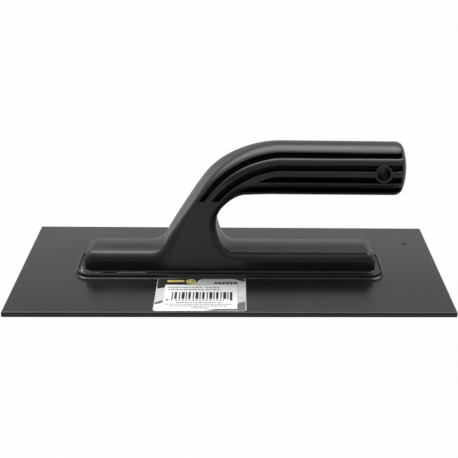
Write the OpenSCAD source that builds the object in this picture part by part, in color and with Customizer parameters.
// Plastic hand float: a flat blade with a raised rim, and an open-ended D
// handle moulded as two hollow half shells that meet on the XZ plane.
// Millimetres. +X along the blade towards the grip's free end, +Z up.
// Origin: centre of the blade's underside. The near shell is on -Y.
// Name endings: _l length, _w width, _t thickness, _h height, _r radius,
// _c centre as [x, z]. The handle is drawn about its own centre and then
// moved to handle_x.

/* [Blade] */
// Blade length along X
blade_l = 270; // [240:1:320]
// Blade width along Y
blade_w = 130; // [100:1:160]
// Blade thickness
blade_t = 3.2; // [2.5:0.1:5]
// Bevel along the blade's top edges
blade_bevel = 0.6; // [0.2:0.1:1]

/* [Rim around the handle foot] */
// Rim length over all
rim_l = 196.2; // [190:0.1:204]
// Rim width over all
rim_w = 38.4; // [34:0.2:44]
// Rim corner radius in plan
rim_r = 10; // [6:0.5:12]
// Rim height above the blade
rim_h = 2.8; // [2:0.1:4]
// Rim wall thickness
rim_wall = 1.5; // [1:0.1:2]
// Glue thickness under the handle
glue_t = 0.4; // [0.2:0.1:0.6]

/* [Handle foot] */
// X of the handle's centre on the blade
handle_x = -1; // [-3:0.1:3]
// Foot length at its walls
foot_l = 186.2; // [180:0.1:190]
// Foot width at its walls
foot_w = 28.6; // [26:0.2:30]
// Height of the foot's top above the underside
foot_top = 19.1; // [16:0.1:24]
// Rounding along the foot's long top edges
foot_edge_r = 5.5; // [3:0.5:7]
// Rounding over the foot's two ends
foot_end_r = 8; // [4:0.5:12]
// Corner radius of the foot in plan
foot_corner_r = 6; // [3:0.5:9]

/* [Grip] */
// Grip radius
grip_r = 16.85; // [14:0.05:18]
// Height of the grip's axis
grip_z = 71.3; // [66:0.1:80]
// Free end of the grip, from the handle's centre
grip_end = 108.2; // [95:0.1:120]
// Rounding of the grip's free end
grip_end_r = 5; // [2:0.5:7]

/* [Neck] */
// Radius of the outer bend, where the grip turns down
bend_r = 59.5; // [56:0.5:60]
// Where the outer bend starts, from the handle's centre
bend_x = 31.8; // [30:0.1:33]
// Lean of the neck's back from horizontal
neck_lean = 56.9; // [56:0.1:58]
// Radius of the inner arch above the fingers
arch_r = 16.75; // [16:0.05:18]
// Inner arch centre, from the handle's centre
arch_x = 7.35; // [6:0.05:9]
// Radius of the wide arc below the arch
low_r = 24; // [23:0.1:24]
// Angle the wide arc turns through
low_turn = 38; // [36:1:38]
// Rounding of the neck's long edges
neck_edge_r = 5.5; // [4:0.5:7]
// Radius of the flare at the back of the neck
flare_r = 12; // [8:0.5:14]

/* [Grip slots] */
// Depth of the slots
slot_depth = 4.5; // [1.5:0.1:4.5]
// Where the slots stop short of the free end
slot_end = 104.4; // [102:0.1:105]
// Height where the two long slots stop on the neck
slot_low = 54.2; // [50:0.1:58]

/* [Hanging hole] */
// Hole radius
hole_r = 3.8; // [3:0.1:4.2]
// Hole, from the handle's centre
hole_x = 93.5; // [88:0.1:96]
// Height of the hole
hole_z = 72.6; // [70:0.1:74]
// Radius of the plain ring around the hole
ring_r = 5.8; // [5:0.1:6.5]

/* [Shells] */
// Wall of the grip
wall = 7; // [6.5:0.1:8]
// Wall of the neck
neck_wall = 6.2; // [6:0.1:6.4]
// Wall of the foot
foot_wall = 3; // [2:0.1:4]
// Radius of the locating pins
pin_r = 1.6; // [1.2:0.1:2]
// Clearance of the pins in their sockets
pin_gap = 0.1; // [0.05:0.05:0.2]

/* [Label] */
// Label length along X
label_l = 55.4; // [40:0.1:70]
// Label width along Y
label_w = 44; // [30:0.1:45]
// X of the label's centre
label_x = -19.25; // [-40:0.25:40]
// Label thickness
label_t = 0.12; // [0.05:0.01:0.3]

/* [Hidden] */
$fn = 96;
skin = 0.03;  // inset that keeps the neck's skin off the grip's and foot's
over = 1;     // overrun of cutters and overlaps
handle_color = [0.075, 0.075, 0.08];

// Plans as [length, width, corner radius]
rim_plan = [rim_l, rim_w, rim_r];
foot_plan = [foot_l, foot_w, foot_corner_r];
bead_hole_plan = [foot_l - 2*foot_wall, foot_w - 2*foot_wall, foot_corner_r - 2];
label_plan = [label_l, label_w, 2];
label_gap = 0.1;                 // between label and rim
lip_inset = rim_wall + 0.2;      // from the rim's outside to the handle's lip
lip_lap = 1;                     // lip's reach in under the foot's walls

grip_top = grip_z + grip_r;
grip_low = grip_z - grip_r;
foot_z0 = blade_t + glue_t;      // underside of the handle
foot_h = foot_top - foot_z0;
half_foot = foot_w/2;
rim_top = blade_t + rim_h;

// Where grip and neck overlap in X, and where neck and foot overlap in Z
neck_lead = [11, 9];             // first neck stations, before bend_x
bar_x = bend_x + 8;              // start of the grip's bar
core_x = bend_x + 7;             // start of the grip's cutters
plug_z = 10;                     // bottom of the neck's plug in the foot
neck_hollow_z = 10.5;            // bottom of the neck's hollow
seat_z = 12;                     // floor of the foot's gap for the neck

// Slots, and the grip's core that their floors follow
long_slots = [[4.2, 6.3], [10.3, 13.7]];  // [upper, lower depth below the top line]
short_slots = [                  // [bottom, top from grip_z, tip x, tip length]
    [-4.35, -0.65, 17.6, 12],
    [-12.1, -7.85, 4.2, 10]];
slot_core_r = grip_r + 0.25;

// Ribs across the foot: X centres, and the pockets between them
rib_t = 2;
rib_x = [-66, -40, -14, 14, 40, 66];
pocket_end = foot_l/2 - foot_wall;
pocket_x0 = concat([-pocket_end], [for (x = rib_x) x + rib_t/2]);
pocket_x1 = concat([for (x = rib_x) x - rib_t/2], [pocket_end]);

// Posts that carry the locating pins: [x, z]
posts = [[-77, 9.5], [27, 9.5], [77, 9.5], [-17, 36], [-2, 66], [60, grip_z]];
post_r = pin_r + 1.9;
// Spans along Y as [from, to]
post_y = [-20, 2];
pin_y = [-2, 4];
socket_y = [-1, 4.5];

function unit(angle) = [cos(angle), sin(angle)];
function mix(from, to, t) = from + (to - from)*t;
function ease(t) = t*t*(3 - 2*t);

// Outer side of the neck: a bend under the grip's top line, a straight back,
// and a flare that runs out on the foot.
flare_z = foot_top - skin;
bend_c = [bend_x, grip_top - bend_r];
back_dir = -unit(neck_lean);
back_normal = unit(neck_lean - 90);
back_start = bend_c + bend_r*unit(90 + neck_lean);
back_drop = back_start[1] - flare_z;
flare_tangent = flare_r*tan(neck_lean/2);
corner_x = back_start[0] + back_dir[0]*back_drop/sin(neck_lean);
flare_c = [corner_x - flare_tangent, flare_z + flare_r];
back_l = back_drop/sin(neck_lean) - flare_tangent;

// Inner side of the neck: a quarter arch above, a wide arc under it and a
// tighter toe that runs out on the foot.
arch_c = [arch_x, grip_low - arch_r];
low_c = [arch_x - arch_r + low_r, arch_c[1]];
toe_r = (arch_c[1] - low_r*sin(low_turn) - flare_z)/(1 - sin(low_turn));
toe_c = low_c - (low_r - toe_r)*unit(low_turn);

// Inner side as [point, inward normal]. Beside the bend it goes by distance
// along it from bend_x; beside the back and the flare, by angle.
turn_end = 60;                   // turn of the arch beside the bend
flat_l = bend_x - arch_x;
turn_l = flat_l + arch_r*turn_end*PI/180;
arch_angle = 90 + turn_end;      // angle where the straight back starts
toe_angle = 250;                 // angle where the flare starts

function on_arc(centre, radius, angle) = [centre + radius*unit(angle), unit(angle)];
function inner_by_distance(run) =
    run < flat_l
        ? [[bend_x - run, grip_low], [0, 1]]
        : on_arc(arch_c, arch_r, 90 + (run - flat_l)/arch_r*180/PI);
function inner_by_angle(angle) =
    angle < 180 ? on_arc(arch_c, arch_r, angle)
    : angle < 180 + low_turn ? on_arc(low_c, low_r, angle)
    : on_arc(toe_c, toe_r, angle);

// Neck stations from the grip down to the foot: [outer point, its inward
// normal, inner point, its inward normal, edge radius, half width].
bend_steps = 9;
back_steps = 7;
flare_steps = 6;
grip_edge_r = grip_r - 0.3;
sink = 0.3;                      // depth of the last station in the foot
spread = 2;                      // its extra reach at each end

lead_stations = [for (lead = neck_lead) let (x = bend_x + lead)
    [[x, grip_top], [0, -1], [x, grip_low], [0, 1], grip_edge_r, grip_r]];
bend_stations = [for (i = [0:bend_steps])
    let (t = i/bend_steps,
         angle = 90 + neck_lean*t,
         inner = inner_by_distance(t*turn_l))
    [bend_c + bend_r*unit(angle), -unit(angle), inner[0], inner[1],
     mix(neck_edge_r, grip_edge_r, pow(1 - t, 1.6)), grip_r]];
back_stations = [for (i = [1:back_steps])
    let (t = i/back_steps,
         inner = inner_by_angle(mix(arch_angle, toe_angle, t)))
    [back_start + back_dir*back_l*t, back_normal, inner[0], inner[1],
     neck_edge_r, mix(grip_r, half_foot, ease(t))]];
flare_stations = [for (i = [1:flare_steps])
    let (t = i/flare_steps,
         normal = unit(neck_lean*(1 - t) - 90),
         inner = inner_by_angle(mix(toe_angle, 270, t)))
    [flare_c + flare_r*normal, normal, inner[0], inner[1],
     mix(neck_edge_r, foot_edge_r, t), half_foot]];
foot_station = [[flare_c[0] - spread, flare_z - sink], [0, -1],
                [toe_c[0] + spread, flare_z - sink], [0, -1], foot_edge_r, half_foot];
stations = concat(lead_stations, bend_stations, back_stations, flare_stations,
                  [foot_station]);

// One rounded edge of a section: point, inward normal, radius, half width
// and turn in degrees from the flat side.
function edge_point(point, normal, radius, half_w, turn) =
    let (place = point + normal*radius*(1 - cos(turn)))
    [place[0], -(half_w - radius) - radius*sin(turn), place[1]];

// Near half (y < 0) of a station's section, from the outer side to the inner
// one. It is shrunk by inset and closed at y = seam_y.
edge_steps = 8;
function section(station, inset, seam_y) =
    let (outer = station[0] + station[1]*inset,
         inner = station[2] + station[3]*inset,
         radius = max(station[4] - inset, 0.5),
         half_w = station[5] - inset)
    concat(
        [[outer[0], seam_y, outer[1]]],
        [for (j = [0:edge_steps])
            edge_point(outer, station[1], radius, half_w, 90*j/edge_steps)],
        [for (j = [edge_steps:-1:0])
            edge_point(inner, station[3], radius, half_w, 90*j/edge_steps)],
        [[inner[0], seam_y, inner[1]]]);

// Half of the neck with the bend above it and a plug below it.
module neck_half(inset = 0, seam_y = 0, bottom = plug_z) {
    sections = [for (station = stations) section(station, inset, seam_y)];
    foot_section = sections[len(sections) - 1];
    rows = concat(sections, [[for (p = foot_section) [p[0], p[1], bottom]]]);
    n = len(rows[0]);
    m = len(rows);
    end = (m - 1)*n;             // first point of the bottom row
    polyhedron(
        points = [for (row = rows) each row],
        faces = concat(
            // skin
            [for (i = [0:m-2]) for (j = [0:n-2]) each
                [[i*n + j, i*n + j + 1, (i+1)*n + j + 1],
                 [i*n + j, (i+1)*n + j + 1, (i+1)*n + j]]],
            // seam side
            [for (i = [0:m-2]) each
                [[i*n + n - 1, i*n, (i+1)*n],
                 [i*n + n - 1, (i+1)*n, (i+1)*n + n - 1]]],
            // cap at the grip
            [for (j = [0:n/2-2]) each
                [[n-1-j, n-2-j, j+1], [n-1-j, j+1, j]]],
            // cap at the bottom
            [for (j = [0:n/2-2]) each
                [[end+j, end+j+1, end+n-2-j], [end+j, end+n-2-j, end+n-1-j]]]),
        convexity = 6);
}

// Rounded rectangle from a [length, width, corner radius], shrunk by inset.
module plan(size, inset = 0) {
    l = size[0] - 2*inset;
    w = size[1] - 2*inset;
    r = size[2] - inset;
    square([l - 2*r, w], center = true);
    square([l, w - 2*r], center = true);
    for (x = [-1, 1], y = [-1, 1])
        translate([x*(l/2 - r), y*(w/2 - r)]) circle(r);
}

// Upright section with its two top corners rounded.
module arched(w, h, r) {
    translate([-w/2, 0]) square([w, h - r]);
    translate([-w/2 + r, 0]) square([w - 2*r, h]);
    for (x = [-1, 1]) translate([x*(w/2 - r), h - r]) circle(r);
}

// Blade's section across a side of the given width.
module bevelled(w) {
    shoulder = blade_t - blade_bevel;
    polygon([[-w/2, 0], [w/2, 0], [w/2, shoulder], [w/2 - blade_bevel, blade_t],
             [-w/2 + blade_bevel, blade_t], [-w/2, shoulder]]);
}

// Block of everything on the near side of the seam.
module near_side(x0 = -200, x1 = 200, z0 = 0, z1 = 60, past_seam = 0) {
    translate([x0, -40, z0]) cube([x1 - x0, 40 + past_seam, z1 - z0]);
}

// Turns a shape's Z axis onto the grip's axis, starting at x.
module along_grip(x) {
    translate([x, 0, grip_z]) rotate([0, 90, 0]) children();
}

// Rod along Y at place = [x, z].
module rod(place, radius, span) {
    translate([place[0], span[1], place[1]]) rotate([90, 0, 0])
        cylinder(r = radius, h = span[1] - span[0], $fn = 48);
}

// Cylinder through the near shell on the hanging hole's axis.
module hole_cylinder(radius) {
    translate([hole_x, over, hole_z]) rotate([90, 0, 0]) cylinder(r = radius, h = 40);
}

// The foot with its edges rounded, cut on the seam.
module foot_half() {
    intersection() {
        translate([0, 0, foot_z0]) linear_extrude(foot_h + over) plan(foot_plan);
        translate([-foot_l/2 - over, 0, foot_z0]) rotate([90, 0, 90])
            linear_extrude(foot_l + 2*over) arched(foot_w, foot_h, foot_edge_r);
        translate([0, foot_w/2 + over, foot_z0]) rotate([90, 0, 0])
            linear_extrude(foot_w + 2*over) arched(foot_l, foot_h, foot_end_r);
        near_side();
    }
}

// Lip around the foot's underside, inside the rim.
module lip_half() {
    intersection() {
        difference() {
            translate([0, 0, foot_z0]) linear_extrude(rim_top - foot_z0)
                plan(rim_plan, lip_inset);
            translate([0, 0, foot_z0 - over]) linear_extrude(rim_top + over)
                plan(foot_plan, lip_lap);
        }
        near_side();
    }
}

// Grip as a whole bar along X with a rounded free end.
module grip_bar() {
    bar_l = grip_end - bar_x;
    along_grip(bar_x) rotate([0, 0, 90]) rotate_extrude() {
        square([grip_r, bar_l - grip_end_r]);
        square([grip_r - grip_end_r, bar_l]);
        intersection() {
            translate([grip_r - grip_end_r, bar_l - grip_end_r]) circle(grip_end_r);
            square([grip_r, bar_l]);
        }
    }
}

// Outline of a long slot between two depths below the grip's top line. It
// follows the grip, the bend and the start of the straight back.
module long_slot(upper, lower) {
    slot_w = lower - upper;
    translate([bend_x, grip_top - lower]) square([slot_end - bend_x, slot_w]);
    intersection() {
        difference() {
            translate(bend_c) circle(bend_r - upper);
            translate(bend_c) circle(bend_r - lower);
        }
        polygon([bend_c, bend_c + [0, 80], bend_c + [-100, 80],
                 bend_c + 150*unit(90 + neck_lean)]);
    }
    intersection() {
        translate(back_start) rotate(neck_lean + 180)
            translate([-0.01, upper]) square([30, slot_w]);
        translate([-60, slot_low]) square([80, 30]);
    }
}

// Outline of a short slot with a pointed tip: straight below, curved above.
module short_slot(z0, z1, tip_x, tip_l) {
    slot_w = z1 - z0;
    tip_r = (tip_l*tip_l + slot_w*slot_w)/(2*slot_w);
    body_x = tip_x + tip_l;
    translate([body_x, z0]) square([slot_end - body_x, slot_w]);
    intersection() {
        translate([body_x, z1 - tip_r]) circle(tip_r);
        translate([tip_x, z0]) square([tip_l + 0.01, slot_w]);
    }
}

module slot_outlines() {
    for (s = long_slots) long_slot(s[0], s[1]);
    for (s = short_slots) short_slot(grip_z + s[0], grip_z + s[1], s[2], s[3]);
}

// Slots on the near side, down to a floor that follows the grip.
module slots() {
    difference() {
        rotate([90, 0, 0]) linear_extrude(30) slot_outlines();
        translate([0, slot_depth, 0]) {
            neck_half(skin, 5);
            along_grip(core_x) cylinder(r = slot_core_r, h = 90);
        }
        hole_cylinder(ring_r);
    }
}

// Pockets between the foot's ribs, open below.
module foot_pockets() {
    pocket_w = half_foot - foot_wall;
    for (i = [0:len(pocket_x0)-1])
        translate([pocket_x0[i], -pocket_w, foot_z0 - over])
            cube([pocket_x1[i] - pocket_x0[i], pocket_w + over, foot_h - foot_wall]);
}

// Hollow inside of a half shell, with its posts left standing.
module hollow() {
    difference() {
        union() {
            neck_half(neck_wall, over, neck_hollow_z);
            intersection() {
                along_grip(core_x) cylinder(r = grip_r - wall, h = grip_end - wall - core_x);
                near_side(x0 = 0, z1 = 120, past_seam = over);
            }
            foot_pockets();
        }
        for (p = posts) rod(p, post_r, post_y);
        rod([hole_x, hole_z], ring_r, post_y);
    }
}

// A whole half shell on the near side, before its pins or sockets.
module half_shell() {
    difference() {
        union() {
            difference() {
                foot_half();
                near_side(flare_c[0] - 1, toe_c[0] + 1, seat_z, 30);
            }
            lip_half();
            neck_half(skin);
            intersection() {
                grip_bar();
                near_side(x0 = 0, z1 = 120);
            }
        }
        hollow();
        slots();
        hole_cylinder(hole_r);
    }
}

module blade() color([0.055, 0.057, 0.06]) {
    intersection() {
        translate([-blade_l/2, 0, 0]) rotate([90, 0, 90])
            linear_extrude(blade_l) bevelled(blade_w);
        translate([0, blade_w/2, 0]) rotate([90, 0, 0])
            linear_extrude(blade_w) bevelled(blade_l);
    }
    translate([handle_x, 0, 0]) difference() {
        translate([0, 0, blade_t - over]) linear_extrude(rim_h + over) plan(rim_plan);
        translate([0, 0, blade_t]) linear_extrude(rim_h + over) plan(rim_plan, rim_wall);
    }
}

module adhesive_bead() color([0.78, 0.77, 0.72]) {
    translate([handle_x, 0, blade_t]) difference() {
        linear_extrude(glue_t) plan(rim_plan, lip_inset);
        translate([0, 0, -over]) linear_extrude(glue_t + 2*over) plan(bead_hole_plan);
    }
}

module handle_near_shell() color(handle_color) translate([handle_x, 0, 0]) {
    half_shell();
    for (p = posts) rod(p, pin_r, pin_y);
}

module handle_far_shell() color(handle_color) translate([handle_x, 0, 0]) {
    difference() {
        mirror([0, 1, 0]) half_shell();
        for (p = posts) rod(p, pin_r + pin_gap, socket_y);
    }
}

module label() color([0.8, 0.8, 0.8]) {
    translate([label_x, -rim_w/2 - label_gap - label_w/2, blade_t])
        linear_extrude(label_t) plan(label_plan);
}

blade();
adhesive_bead();
handle_near_shell();
handle_far_shell();
label();
